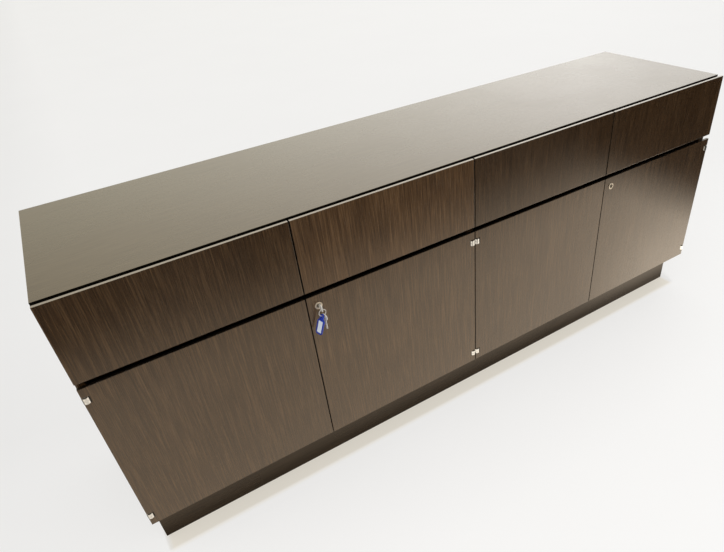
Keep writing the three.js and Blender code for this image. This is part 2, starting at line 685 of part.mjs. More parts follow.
function hangAt(along, tilt) {
  const drop = Math.sqrt(RING_RADIUS ** 2 - along ** 2);
  const group = groupAt(ringGroup, along, 0, -drop - HANG_RISE);
  group.rotation.set(0, tilt, HANG_TURN);
  return group;
}

const labelRecess = block(
  [-TAG_THICK, LABEL_DEPTH - TAG_THICK / 2],
  [LABEL_MARGIN - TAG_WIDTH / 2, TAG_WIDTH / 2 - LABEL_MARGIN],
  [LABEL_MARGIN - TAB_LENGTH - TAG_LENGTH, -TAB_LENGTH - LABEL_MARGIN],
);
const tagPlate = alongX(tagOutline(), TAG_THICK);
add(hangAt(-hangOffset, TAG_TILT), 'key_tag', shape(tagPlate, [], [labelRecess]), 'tag');

const spareGeometry = keyBlank.clone().rotateX(-QUARTER_TURN).translate(0, 0, -bowHole);
add(hangAt(hangOffset, SPARE_TILT), 'spare_key', spareGeometry, 'nickel');

export default credenza;
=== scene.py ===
import math
from collections import namedtuple

import bmesh
import bpy
from mathutils import Euler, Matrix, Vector


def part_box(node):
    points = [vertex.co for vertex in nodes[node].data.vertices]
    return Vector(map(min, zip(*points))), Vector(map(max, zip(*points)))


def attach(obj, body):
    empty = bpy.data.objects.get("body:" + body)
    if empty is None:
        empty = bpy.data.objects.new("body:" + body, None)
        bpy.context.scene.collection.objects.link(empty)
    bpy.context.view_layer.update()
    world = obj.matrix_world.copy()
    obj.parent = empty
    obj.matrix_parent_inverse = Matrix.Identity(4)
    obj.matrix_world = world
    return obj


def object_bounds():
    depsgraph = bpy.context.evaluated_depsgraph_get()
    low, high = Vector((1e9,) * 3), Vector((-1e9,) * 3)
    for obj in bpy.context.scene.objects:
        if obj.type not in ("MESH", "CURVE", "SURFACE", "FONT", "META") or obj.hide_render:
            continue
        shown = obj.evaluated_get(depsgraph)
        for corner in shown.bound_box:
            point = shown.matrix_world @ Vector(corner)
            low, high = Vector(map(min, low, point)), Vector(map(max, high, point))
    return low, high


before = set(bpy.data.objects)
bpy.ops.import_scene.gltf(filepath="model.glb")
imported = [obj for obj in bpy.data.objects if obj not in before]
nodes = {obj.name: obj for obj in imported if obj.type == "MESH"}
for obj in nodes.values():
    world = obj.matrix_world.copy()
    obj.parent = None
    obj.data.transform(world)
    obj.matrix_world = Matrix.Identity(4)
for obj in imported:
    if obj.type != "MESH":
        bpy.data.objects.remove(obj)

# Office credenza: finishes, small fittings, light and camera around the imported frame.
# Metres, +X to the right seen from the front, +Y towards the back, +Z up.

cad_low, cad_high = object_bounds()
scene = bpy.context.scene
BAYS = range(1, 5)


def colour(red, green, blue):
    return (red, green, blue, 1.0)


def shaded(tint, level):
    """A colour made lighter or darker."""
    red, green, blue, _ = tint
    return colour(red * level, green * level, blue * level)


# A value that changes evenly between two places and stays level beyond them
Ramp = namedtuple("Ramp", "low high at_low at_high")

# Places taken from the frame
FRONT_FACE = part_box("door_1")[0].y
CARCASS_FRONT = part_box("side_panel_left")[0].y
FLOOR = cad_low.z

# Camera, measured from the middle of the front faces at floor level
CAMERA_PLACE = Vector((-0.8207, -1.0600, 1.3717))
CAMERA_ANGLES = Euler((math.radians(55.278), math.radians(4.236), math.radians(-31.992)))
SENSOR_WIDTH = 36.0
CAMERA_LENS = 28.184
CAMERA_SHIFT = (-0.05826, 0.0077)

# Light
SUN_STRENGTH = 0.75
SUN_ANGLE = math.radians(2.0)
SUN_TILT = (math.radians(5.0), math.radians(-2.0), 0.0)
AMBIENT = 0.78
ROOM_DARK_SIDE = 0.03
ROOM_WHITE = 0.9

# Rounded edges and shading
BOARD_EDGE = 0.0009
METAL_EDGE = 0.0003
KEY_EDGE = 0.00015
EDGE_STEPS = 2
EDGE_ANGLE = math.radians(30)
SMOOTH_ANGLE = math.radians(42)
WELD_DISTANCE = 0.00001
FLAT_ANGLE = math.radians(0.5)

# Noise: the part of its range that patterns use, and its usual detail
NOISE_LOW = 0.3
NOISE_MIDDLE = 0.5
NOISE_HIGH = 0.7
NOISE_DETAIL = 3.0
NOISE_ROUGHNESS = 0.55

# Veneer: how often each pattern repeats in a metre across and along the grain
Streaks = namedtuple("Streaks", "across along detail roughness")
DRIFT = Streaks(3.0, 1.1, 2.0, 0.55)
FIGURE = Streaks(14.0, 0.5, 2.0, 0.55)
BANDS = Streaks(130.0, 4.0, 3.0, 0.6)
LINES = Streaks(400.0, 11.0, 2.0, 0.6)
PORES = Streaks(1100.0, 40.0, 2.0, 0.5)
FIGURE_SHARE = 0.12
BANDS_SHARE = 0.2
LINES_SHARE = 0.68
TONE_LOW = 0.3
TONE_MIDDLE = 0.5
TONE_HIGH = 0.7
PORE_START = 0.56
PORE_FULL = 0.7
PORE_DARKENING = 0.5
PORE_ROUGHENING = 0.08
SMUDGE_SCALE = 5.0
SMUDGE_SHINE = 0.03
SMUDGE_HAZE = 0.05
LINE_RELIEF = 0.35
RELIEF_HEIGHT = 0.0002
SEED_STEP = Vector((1.37, 0.71, 2.13))

# Wood tones
Tones = namedtuple("Tones", "dark middle light")
WENGE = Tones(colour(0.023, 0.0105, 0.004), colour(0.053, 0.0265, 0.0105), colour(0.115, 0.063, 0.028))
TOP = Tones(colour(0.080, 0.055, 0.031), colour(0.106, 0.074, 0.042), colour(0.132, 0.095, 0.056))
PLINTH = Tones(colour(0.018, 0.0115, 0.0063), colour(0.034, 0.0215, 0.012), colour(0.057, 0.036, 0.020))
BEECH = Tones(colour(0.30, 0.17, 0.085), colour(0.40, 0.245, 0.13), colour(0.50, 0.33, 0.19))
WARM_SHEEN = colour(1.0, 0.86, 0.7)
# Painted highlight on the drawers' lips
PAINTED_LIP_HIGHLIGHT = colour(0.26, 0.22, 0.17)
# Dark painted shade in the slots, bevels and seams and on the doors' lips
PAINTED_SHADE_BLACK = colour(0.005, 0.004, 0.003)

# Each front is a leaf of its own, a little lighter or darker than the next: partly its own tone, partly
# painted light and shade for how brightly each front is lit
DRAWER_LEAF_AND_LIGHT_LEVELS = (0.93, 1.5, 0.82, 0.85)
DOOR_LEAF_AND_LIGHT_LEVELS = (1.02, 1.15, 1.05, 0.9)
DOOR_SEED = 4.0
SIDE_SEED = 11.0
TOP_SEED = 21.0
INSIDE_SEED = 31.0
LEVEL_SEED = 33.0
PLINTH_SEED = 41.0
DRAWER_SIDE_SEED = 51.0
DRAWER_CROSS_SEED = 53.0

# Edges of the fronts and the top: dark painted shade in the slots, bevels and seams, a painted highlight on
# the drawers' lips
LIP_DEPTH = 0.008
EDGE_BLEND = 0.0003
LIP_RISE = (0.55, 0.85)
BEVEL_RISE = (0.1, 0.2)
SEAM_TURN = (0.3, 0.5)
SEAM_ENDS = (0.985, 0.99)
TOP_RISE = (0.5, 0.9)

# Places of the colour sockets on a mix node
MIX_FIRST = 6
MIX_SECOND = 7
MIX_RESULT = 2


class Graph:
    """A node tree, with short ways to add and join nodes."""

    def __init__(self, tree):
        self.tree = tree
        tree.nodes.clear()

    def add(self, kind, inputs=None, **settings):
        node = self.tree.nodes.new(kind)
        for key, value in settings.items():
            setattr(node, key, value)
        for key, value in (inputs or {}).items():
            self.put(node.inputs[key], value)
        return node

    def put(self, socket, value):
        """Link an output to a socket, or set the socket to a plain value."""
        if isinstance(value, bpy.types.NodeSocket):
            self.tree.links.new(value, socket)
        else:
            socket.default_value = value

    def math(self, operation, first, second=0.0, clamp=False):
        node = self.add("ShaderNodeMath", {0: first, 1: second}, operation=operation, use_clamp=clamp)
        return node.outputs[0]

    def product(self, first, *others):
        for other in others:
            first = self.math("MULTIPLY", first, other)
        return first

    def vector(self, operation, first, second):
        node = self.add("ShaderNodeVectorMath", {0: first, 1: second}, operation=operation)
        return node.outputs[0]

    def mix(self, factor, first, second):
        node = self.add("ShaderNodeMix", {0: factor, MIX_FIRST: first, MIX_SECOND: second}, data_type="RGBA")
        return node.outputs[MIX_RESULT]

    def noise(self, vector, scale, detail=NOISE_DETAIL, roughness=NOISE_ROUGHNESS):
        inputs = {"Vector": vector, "Scale": scale, "Detail": detail, "Roughness": roughness}
        return self.add("ShaderNodeTexNoise", inputs).outputs["Fac"]

    def spread(self, noise, low=0.0, high=1.0):
        """A noise's middle range, drawn out between two values."""
        return self.remap(noise, NOISE_LOW, NOISE_HIGH, low, high)

    def streaks(self, place, grain, kind):
        """Noise drawn out along one axis."""
        scale = tuple(kind.along if axis == grain else kind.across for axis in "xyz")
        return self.noise(self.vector("MULTIPLY", place, scale), 1.0, kind.detail, kind.roughness)

    def remap(self, value, low, high, to_low=0.0, to_high=1.0):
        """An even change from one value to another, level beyond both ends."""
        inputs = {"Value": value, "From Min": low, "From Max": high, "To Min": to_low, "To Max": to_high}
        return self.add("ShaderNodeMapRange", inputs).outputs["Result"]

    def place(self):
        """The shaded point in its piece's own frame."""
        return self.add("ShaderNodeTexCoord").outputs["Object"]

    def facing(self):
        """The way a face looks in its piece's own frame, which stays the same when the piece moves."""
        return self.split(self.add("ShaderNodeTexCoord").outputs["Normal"])

    def split(self, vector):
        return self.add("ShaderNodeSeparateXYZ", {"Vector": vector}).outputs

    def bump(self, shader, height, strength):
        node = self.add("ShaderNodeBump", {"Strength": strength, "Distance": RELIEF_HEIGHT, "Height": height})
        self.put(shader.inputs["Normal"], node.outputs["Normal"])


def new_material(name):
    """A material, the graph of its nodes and its one shader."""
    material = bpy.data.materials.new(name)
    material.use_nodes = True
    graph = Graph(material.node_tree)
    shader = graph.add("ShaderNodeBsdfPrincipled")
    output = graph.add("ShaderNodeOutputMaterial")
    graph.put(output.inputs["Surface"], shader.outputs["BSDF"])
    return material, graph, shader


def front_edges(graph, veneer, coat, painted_lip, lip_coat):
    """Upper lips in a painted tone of their own, and dark painted shade on the bevels behind them and in the
    seams.
    """
    spot = graph.split(graph.place())
    facing = graph.facing()
    lip = graph.remap(facing["Z"], *LIP_RISE)
    lip_back = FRONT_FACE + LIP_DEPTH
    behind = graph.remap(spot["Y"], lip_back - EDGE_BLEND, lip_back)
    bevel = graph.product(behind, graph.remap(facing["Z"], *BEVEL_RISE))
    seam = graph.remap(graph.math("ABSOLUTE", facing["X"]), *SEAM_TURN)
    inner = graph.remap(graph.math("ABSOLUTE", spot["X"]), *SEAM_ENDS, 1.0, 0.0)
    # Where the painted shade falls: the bevels behind the lips, and the seams between the fronts
    painted_shade = graph.math("MAXIMUM", bevel, graph.product(seam, inner))
    veneer = graph.mix(painted_shade, graph.mix(lip, veneer, painted_lip), PAINTED_SHADE_BLACK)
    return veneer, graph.remap(painted_shade, 0.0, 1.0, graph.remap(lip, 0.0, 1.0, coat, lip_coat), 0.0)


def drawer_edges(graph, veneer, coat):
    """Polished lips with a full coat, and a painted highlight in their colour where they catch the light
    beside the top.
    """
    return front_edges(graph, veneer, coat, PAINTED_LIP_HIGHLIGHT, 1.0)


def door_edges(graph, veneer, coat):
    """Lips painted dark as painted shade, at the bottom of the finger gap."""
    return front_edges(graph, veneer, coat, PAINTED_SHADE_BLACK, 0.0)


def top_edges(graph, veneer, coat):
    """Dark painted shade on the front edge, inside the slot behind the drawer fronts."""
    depth = graph.split(graph.place())["Y"]
    rise = graph.facing()["Z"]
    edge_back = CARCASS_FRONT + BOARD_EDGE
    front = graph.remap(depth, edge_back, edge_back + EDGE_BLEND, 1.0, 0.0)
    edge = graph.product(front, graph.remap(rise, *TOP_RISE, 1.0, 0.0))
    return graph.mix(edge, veneer, PAINTED_SHADE_BLACK), graph.remap(edge, 0.0, 1.0, coat, 0.0)


# Wood finishes: sheen of the veneer and of the lacquer over it, relief, and sway of the grain
Finish = namedtuple("Finish", "rough ior coat coat_rough bump sway edges", defaults=[None])
SIDE_FINISH = Finish(0.22, 1.75, 0.35, 0.15, 0.1, 0.010)
DRAWER_FINISH = SIDE_FINISH._replace(edges=drawer_edges)
DOOR_FINISH = SIDE_FINISH._replace(edges=door_edges)
TOP_FINISH = Finish(0.26, 1.5, 1.0, 0.13, 0.04, 0.012, top_edges)
PLINTH_FINISH = Finish(0.26, 1.55, 0.0, 0.3, 0.1, 0.010)
INSIDE_FINISH = Finish(0.5, 1.5, 0.1, 0.4, 0.15, 0.010)


def wood(name, grain, seed, tones, finish):
    """Striped veneer: broad figure, narrow bands and open pores, all running along the grain."""
    material, graph, shader = new_material(name)
    place = graph.vector("ADD", graph.place(), seed * SEED_STEP)
    drift = graph.math("SUBTRACT", graph.streaks(place, grain, DRIFT), NOISE_MIDDLE)
    place = graph.vector("ADD", place, graph.product(drift, finish.sway))
    lines = graph.streaks(place, grain, LINES)
    tone = graph.product(graph.streaks(place, grain, FIGURE), FIGURE_SHARE)
    tone = graph.math("ADD", tone, graph.product(graph.streaks(place, grain, BANDS), BANDS_SHARE))
    tone = graph.math("ADD", tone, graph.product(lines, LINES_SHARE))
    veneer = graph.mix(graph.remap(tone, TONE_LOW, TONE_MIDDLE), tones.dark, tones.middle)
    veneer = graph.mix(graph.remap(tone, TONE_MIDDLE, TONE_HIGH), veneer, tones.light)
    pores = graph.remap(graph.streaks(place, grain, PORES), PORE_START, PORE_FULL)
    veneer = graph.mix(graph.product(pores, PORE_DARKENING), veneer, tones.dark)
    coat = finish.coat
    # The edges get their painted highlight and painted shade
    if finish.edges:
        veneer, coat = finish.edges(graph, veneer, coat)
    graph.put(shader.inputs["Base Color"], veneer)
    graph.put(shader.inputs["Coat Weight"], coat)
    smudge = graph.noise(place, SMUDGE_SCALE)
    rough = graph.spread(smudge, finish.rough - SMUDGE_SHINE, finish.rough + SMUDGE_HAZE)
    rough = graph.math("ADD", rough, graph.product(pores, PORE_ROUGHENING))
    graph.put(shader.inputs["Roughness"], rough)
    shader.inputs["IOR"].default_value = finish.ior
    shader.inputs["Specular Tint"].default_value = WARM_SHEEN
    shader.inputs["Coat Roughness"].default_value = finish.coat_rough
    graph.bump(shader, graph.math("SUBTRACT", graph.product(lines, LINE_RELIEF), pores), finish.bump)
    return material


# Metal: tint, roughness, depth of the polishing marks and how far it mirrors
Plating = namedtuple("Plating", "tint roughness scratch mirror", defaults=[1.0])
CHROME = Plating((0.95, 0.95, 0.94), 0.12, 0.12)
NICKEL = Plating((0.95, 0.86, 0.74), 0.3, 0.14)
DARK_STEEL = Plating((0.20, 0.175, 0.14), 0.3, 0.14)
KEY_NICKEL = Plating((0.98, 0.95, 0.89), 0.38, 0.14, 0.4)
POLISH_MARKS = (2600.0, 2600.0, 300.0)
TARNISH_SCALE = 160.0
TARNISH_SHADE = 0.88
FINE_DETAIL = 2.0

# Plastic and paper
PLASTIC_CLOUD_SCALE = 90.0
PLASTIC_CLOUD_RANGE = (0.35, 0.65)
PLASTIC_RIPPLE_SCALE = 420.0
PLASTIC_ROUGHNESS = (0.16, 0.28)
PLASTIC_IOR = 1.49
PLASTIC_BUMP = 0.1
TAG_BLUE = colour(0.018, 0.055, 0.48)
TAG_DEEP_BLUE = colour(0.010, 0.030, 0.30)
PAPER_SHADE = colour(0.76, 0.82, 0.95)
PAPER_LIGHT = colour(0.85, 0.90, 0.98)
PAPER_FIBRE_SCALE = 900.0
PAPER_ROUGHNESS = 0.35


def metal(name, plating):
    """Plated metal with faint polishing marks and a little tarnish."""
    material, graph, shader = new_material(name)
    place = graph.place()
    tarnish = graph.spread(graph.noise(place, TARNISH_SCALE, FINE_DETAIL), TARNISH_SHADE, 1.0)
    worn = graph.add("ShaderNodeVectorMath", {0: plating.tint, "Scale": tarnish}, operation="SCALE")
    graph.put(shader.inputs["Base Color"], worn.outputs[0])
    shader.inputs["Metallic"].default_value = plating.mirror
    marks = graph.noise(graph.vector("MULTIPLY", place, POLISH_MARKS), 1.0)
    rough = graph.spread(marks, plating.roughness, plating.roughness + plating.scratch)
    graph.put(shader.inputs["Roughness"], rough)
    return material


def plastic(name, tint, deep):
    """Glossy moulded plastic, a little deeper in tone where it clouds."""
    material, graph, shader = new_material(name)
    place = graph.place()
    cloud = graph.remap(graph.noise(place, PLASTIC_CLOUD_SCALE), *PLASTIC_CLOUD_RANGE)
    graph.put(shader.inputs["Base Color"], graph.mix(cloud, deep, tint))
    ripple = graph.noise(place, PLASTIC_RIPPLE_SCALE, FINE_DETAIL)
    graph.put(shader.inputs["Roughness"], graph.spread(ripple, *PLASTIC_ROUGHNESS))
    shader.inputs["IOR"].default_value = PLASTIC_IOR
    graph.bump(shader, ripple, PLASTIC_BUMP)
    return material


def paper():
    """Matt paper with a faint fibre."""
    material, graph, shader = new_material("label_paper")
    fibre = graph.spread(graph.noise(graph.place(), PAPER_FIBRE_SCALE))
    graph.put(shader.inputs["Base Color"], graph.mix(fibre, PAPER_SHADE, PAPER_LIGHT))
    shader.inputs["Roughness"].default_value = PAPER_ROUGHNESS
    return material


def smooth_by_angle(limit):
    """Geometry nodes that shade a piece smooth, except across its sharp edges."""
    group = bpy.data.node_groups.new("smooth_by_angle", "GeometryNodeTree")
    group.interface.new_socket("Geometry", in_out="INPUT", socket_type="NodeSocketGeometry")
    group.interface.new_socket("Geometry", in_out="OUTPUT", socket_type="NodeSocketGeometry")
    graph = Graph(group)
    source = graph.add("NodeGroupInput").outputs[0]
    faces = graph.add("GeometryNodeSetShadeSmooth", {"Geometry": source}, domain="FACE").outputs[0]
    angle = graph.add("GeometryNodeInputMeshEdgeAngle").outputs["Unsigned Angle"]
    sharp = graph.math("GREATER_THAN", angle, limit)
    inputs = {"Geometry": faces, "Selection": sharp, "Shade Smooth": False}
    edges = graph.add("GeometryNodeSetShadeSmooth", inputs, domain="EDGE")
    graph.add("NodeGroupOutput", {0: edges.outputs[0]})
    return group


smooth_group = smooth_by_angle(SMOOTH_ANGLE)


def dress(node_name, material, edge):
    """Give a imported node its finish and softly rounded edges. Boards stay flat, metal is smoothed."""
    piece = nodes[node_name]
    piece.data.materials.clear()
    piece.data.materials.append(material)
    weld = piece.modifiers.new("weld", "WELD")
    weld.merge_threshold = WELD_DISTANCE
    flat = piece.modifiers.new("flat", "DECIMATE")
    flat.decimate_type = "DISSOLVE"
    flat.angle_limit = FLAT_ANGLE
    bevel = piece.modifiers.new("edges", "BEVEL")
    bevel.width = edge
    bevel.segments = EDGE_STEPS
    bevel.limit_method = "ANGLE"
    bevel.angle_limit = EDGE_ANGLE
    join = piece.modifiers.new("join", "WELD")
    join.merge_threshold = WELD_DISTANCE
    if edge < BOARD_EDGE:
        smooth = piece.modifiers.new("smooth", "NODES")
        smooth.node_group = smooth_group
        even = piece.modifiers.new("even", "WEIGHTED_NORMAL")
        even.keep_sharp = True


# Boards: each visible front has its own run of veneer, its tones scaled by its level of own tone and painted
# light
for number, drawer_light_level, door_light_level in zip(BAYS, DRAWER_LEAF_AND_LIGHT_LEVELS, DOOR_LEAF_AND_LIGHT_LEVELS):
    drawer_lit_leaf = Tones(*(shaded(tint, drawer_light_level) for tint in WENGE))
    door_lit_leaf = Tones(*(shaded(tint, door_light_level) for tint in WENGE))
    drawer_veneer = wood(f"veneer_drawer_{number}_front", "z", number, drawer_lit_leaf, DRAWER_FINISH)
    door_veneer = wood(f"veneer_door_{number}", "z", DOOR_SEED + number, door_lit_leaf, DOOR_FINISH)
    dress(f"drawer_{number}_front", drawer_veneer, BOARD_EDGE)
    dress(f"door_{number}", door_veneer, BOARD_EDGE)
for index, name in enumerate(["side_panel_left", "side_panel_right"]):
    dress(name, wood(f"veneer_{name}", "z", SIDE_SEED + index, WENGE, SIDE_FINISH), BOARD_EDGE)
dress("top_panel", wood("veneer_top", "x", TOP_SEED, TOP, TOP_FINISH), BOARD_EDGE)
dress("plinth_frame", wood("veneer_plinth", "x", PLINTH_SEED, PLINTH, PLINTH_FINISH), BOARD_EDGE)
inside_upright = wood("veneer_inside", "z", INSIDE_SEED, WENGE, INSIDE_FINISH)
for name in ["centre_partition", "drawer_divider_left", "drawer_divider_right", "back_panel"]:
    dress(name, inside_upright, BOARD_EDGE)
inside_level = wood("veneer_level", "x", LEVEL_SEED, WENGE, INSIDE_FINISH)
for name in ["bottom_panel", "drawer_deck", "shelf_left", "shelf_right"]:
    dress(name, inside_level, BOARD_EDGE)
drawer_side_wood = wood("drawer_side_wood", "y", DRAWER_SIDE_SEED, BEECH, INSIDE_FINISH)
drawer_cross_wood = wood("drawer_cross_wood", "x", DRAWER_CROSS_SEED, BEECH, INSIDE_FINISH)
for number in BAYS:
    for part in ["side_left", "side_right"]:
        dress(f"drawer_{number}_{part}", drawer_side_wood, BOARD_EDGE)
    for part in ["back", "bottom"]:
        dress(f"drawer_{number}_{part}", drawer_cross_wood, BOARD_EDGE)

# Fittings
chrome = metal("hinge_chrome", CHROME)
nickel = metal("lock_nickel", NICKEL)
dark_steel = metal("lock_plug_steel", DARK_STEEL)
key_metal = metal("key_nickel", KEY_NICKEL)
for name in nodes:
    if name.startswith("hinge_"):
        dress(name, chrome, METAL_EDGE)
    elif name.startswith("lock_housing"):
        dress(name, nickel, METAL_EDGE)
    elif name.startswith("lock_cylinder"):
        dress(name, dark_steel, METAL_EDGE)
for name in ["key", "spare_key", "key_ring"]:
    dress(name, key_metal, KEY_EDGE)
dress("key_tag", plastic("tag_plastic", TAG_BLUE, TAG_DEEP_BLUE), METAL_EDGE)


def add_piece(name, mesh, material, body):
    """Put a new piece in the scene, riding on a body and worn in a material slot."""
    piece = bpy.data.objects.new(name, mesh)
    scene.collection.objects.link(piece)
    mesh.materials.append(material)
    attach(piece, body)


# Blank paper in the tag's window
LABEL_THICK = 0.0004
LABEL_SHARE = 0.94
LABEL_ALIGNMENT = 0.999
LABEL_SUNK_LOW = 0.0003
LABEL_SUNK_HIGH = 0.001
POINT_DIGITS = 6


def prism(name, low, high):
    """A closed solid between two rings of points that run the same way round."""
    count = len(low)
    sides = [(i, (i + 1) % count, (i + 1) % count + count, i + count) for i in range(count)]
    ends = [tuple(range(count))[::-1], tuple(range(count, 2 * count))]
    mesh = bpy.data.meshes.new(name)
    mesh.from_pydata(low + high, [], ends + sides)
    return mesh


def tag_label():
    """A slip of paper that fills the shallow panel in the tag's face."""
    tag = nodes["key_tag"].data
    facing = max(tag.polygons, key=lambda face: face.area).normal.copy()
    if facing.x > 0:
        facing = -facing
    flat = [face for face in tag.polygons if face.normal.dot(facing) > LABEL_ALIGNMENT]
    rim = max(face.center.dot(facing) for face in flat)
    sunk = [face for face in flat if LABEL_SUNK_LOW < rim - face.center.dot(facing) < LABEL_SUNK_HIGH]
    places = [tag.vertices[index].co for face in sunk for index in face.vertices]
    corners = {tuple(round(part, POINT_DIGITS) for part in place) for place in places}
    points = [Vector(corner) for corner in corners]
    middle = sum(points, Vector()) / len(points)
    across = (points[0] - middle).normalized()
    upright = facing.cross(across)
    points.sort(key=lambda point: math.atan2((point - middle).dot(upright), (point - middle).dot(across)))
    low = [middle + (point - middle) * LABEL_SHARE for point in points]
    high = [point + facing * LABEL_THICK for point in low]
    return prism("tag_label", low, high)


add_piece("tag_label", tag_label(), paper(), "key_bunch")

# Screw heads: their form, as shares of the head's radius
SCREW_SIDES = 20
SCREW_TIP = 0.5
SCREW_SUNK = 0.6
SCREW_CROWN = 0.72
CROSS_ARMS = 4
CROSS_LENGTH = 0.5
CROSS_WIDTH = 0.13
CROSS_DEPTH = 0.3

# Screw heads: their radii, how far they stand proud, and where they go
BACK_SCREW = 0.0026
HINGE_SCREW = 0.0028
CAM_SCREW = 0.0036
SCREW_RISE = 0.0004
BACK_SCREW_GAPS = 8
HINGE_SCREW_OFFSET = 0.0056
BACKWARDS = Vector((0.0, 1.0, 0.0))
FORWARDS = Vector((0.0, -1.0, 0.0))


def ring_of_faces(shape, first, second):
    """Join two rings of points that run the same way round."""
    for index in range(len(first)):
        shape.faces.new((first[index - 1], first[index], second[index], second[index - 1]))


def screw_head(shape, place, facing, radius):
    """A countersunk head with a cross recess, sunk to its rim in the face that it holds."""
    turn = facing.to_track_quat("Z", "Y").to_matrix()

    def ring(outline, share, height):
        spots = [Vector((across * share * radius, up * share * radius, height)) for across, up in outline]
        return [shape.verts.new(place + turn @ spot) for spot in spots]

    steps = [math.tau * index / SCREW_SIDES for index in range(SCREW_SIDES)]
    circle = [(math.cos(step), math.sin(step)) for step in steps]
    arm = [(CROSS_LENGTH, -CROSS_WIDTH), (CROSS_LENGTH, CROSS_WIDTH), (CROSS_WIDTH, CROSS_WIDTH)]
    cross = []
    for _ in range(CROSS_ARMS):
        cross.extend(arm)
        arm = [(-up, across) for across, up in arm]
    tip = ring(circle, SCREW_TIP, -SCREW_SUNK * radius)
    rim = ring(circle, 1.0, 0.0)
    crown = ring(circle, SCREW_CROWN, SCREW_RISE)
    mouth = ring(cross, 1.0, SCREW_RISE)
    pit = ring(cross, 1.0, SCREW_RISE - CROSS_DEPTH * radius)
    shape.faces.new(tip)
    shape.faces.new(pit)
    ring_of_faces(shape, tip, rim)
    ring_of_faces(shape, rim, crown)
    ring_of_faces(shape, mouth, pit)
    loops = []
    for loop in (crown, mouth):
        loops.extend(shape.edges.get((loop[index - 1], loop[index])) for index in range(len(loop)))
    bmesh.ops.triangle_fill(shape, edges=loops, normal=facing, use_beauty=True)


def add_screws(name, places, facing, radius, material, body):
    """Screw heads in one mesh, at places on the faces that they hold."""
    shape = bmesh.new()
    for place in places:
        screw_head(shape, place, facing, radius)
    bmesh.ops.recalc_face_normals(shape, faces=shape.faces[:])
    mesh = bpy.data.meshes.new(name)
    shape.to_mesh(mesh)
    shape.free()
    add_piece(name, mesh, material, body)


def middle_of(name):
    """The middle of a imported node's box."""
    low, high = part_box(name)
    return (low + high) / 2.0


def back_screw_places():
    """Rows into the bottom and the deck, and between and above them into the sides and the partition."""
    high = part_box("back_panel")[1]
    reach = (high.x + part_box("bottom_panel")[1].x) / 2.0
    bottom_row = middle_of("bottom_panel").z
    deck_row = middle_of("drawer_deck").z
    columns = [reach * (2.0 * index / BACK_SCREW_GAPS - 1.0) for index in range(BACK_SCREW_GAPS + 1)]
    places = [Vector((x, high.y, z)) for z in (bottom_row, deck_row) for x in columns]
    for z in ((bottom_row + deck_row) / 2.0, (deck_row + high.z) / 2.0):
        places.extend(Vector((x, high.y, z)) for x in (-reach, 0.0, reach))
    return places


def hinge_screw_places():
    """One screw in each plate's upper half, and one more in the lower half of the double plates."""
    places = []
    for side in ["left", "centre", "right"]:
        for level in ["upper", "lower"]:
            middle = middle_of(f"hinge_plate_{side}_{level}")
            rises = [HINGE_SCREW_OFFSET, -HINGE_SCREW_OFFSET] if side == "centre" else [HINGE_SCREW_OFFSET]
            places.extend(Vector((middle.x, CARCASS_FRONT, middle.z + rise)) for rise in rises)
    return places


def cam_screw_place(side):
    """On the lock's axis, at the cam's rear face."""
    axis = middle_of(f"lock_housing_{side}")
    return Vector((axis.x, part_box(f"lock_cylinder_{side}")[1].y, axis.z))


add_screws("back_screws", back_screw_places(), BACKWARDS, BACK_SCREW, chrome, "carcass")
add_screws("hinge_screws", hinge_screw_places(), FORWARDS, HINGE_SCREW, chrome, "carcass")
for side in ["left", "right"]:
    places = [cam_screw_place(side)]
    body = f"{side}_lock_plug"
    add_screws(f"cam_screw_{side}", places, BACKWARDS, CAM_SCREW, nickel, body)

# Floor: its paint, and a painted warm shadow under the object
FLOOR_REACH = 60.0
FLOOR_CLOUD_SCALE = 1.4
FLOOR_SHADE = colour(0.87, 0.87, 0.86)
FLOOR_PALE = colour(0.92, 0.92, 0.91)
FLOOR_ROUGHNESS = 0.35
FLOOR_SHINE = 0.1
UNDER_PAINTED_SHADOW = colour(0.88, 0.83, 0.735)
UNDER_END_INSET = 0.015
UNDER_FRONT_INSET = 0.012
UNDER_BLEND_OUT = 0.012
UNDER_BLEND_IN = 0.004

# Floor seen by the camera: a glow with painted light, brighter ahead of the object and on its right
GLOW_TINT = colour(0.925, 0.915, 0.90)
GLOW_SHARE = 0.6
GLOW_AHEAD = Ramp(-0.7, 0.4, 0.92, 1.12)
GLOW_ACROSS = Ramp(-1.5, -0.9, 0.9, 1.0)

# Floor seen in reflections: a glow that paints its reflection, with painted light from the right and painted
# shade far ahead, far right and under the fronts
PAINTED_REFLECTION_TINT = colour(1.0, 0.9, 0.76)
MIRROR_AHEAD = Ramp(0.7, 1.2, 1.0, ROOM_DARK_SIDE)
MIRROR_UNDER = Ramp(-0.045, 0.025, 0.2, 1.0)
MIRROR_ALONG = Ramp(-1.1, 0.35, 0.82, 1.23)
MIRROR_LAST = Ramp(0.45, 0.9, 0.0, 1.0)
MIRROR_LAST_GAIN = Ramp(0.15, 0.45, 0.72, 0.17)
MIRROR_FAR_RIGHT = Ramp(1.45, 1.85, 1.0, ROOM_DARK_SIDE)

# Room: bright behind and above the object, dim in front of it, warmer on the left
ROOM_DEPTH = Ramp(-0.35, 0.25, ROOM_DARK_SIDE, 1.0)
ROOM_ACROSS = Ramp(-0.2, 0.72, 0.54, 1.6)
ROOM_END = Ramp(0.72, 0.82, 1.0, 0.8)
ROOM_CEILING = Ramp(0.45, 0.8, 0.0, 1.3)
ROOM_WARMTH = Ramp(-0.1, 0.7, 0.0, 1.0)
ROOM_LEFT_TINT = colour(1.0, 0.975, 0.79)
ROOM_RIGHT_TINT = colour(1.0, 0.985, 0.94)
PLAIN_WHITE = colour(1.0, 1.0, 1.0)


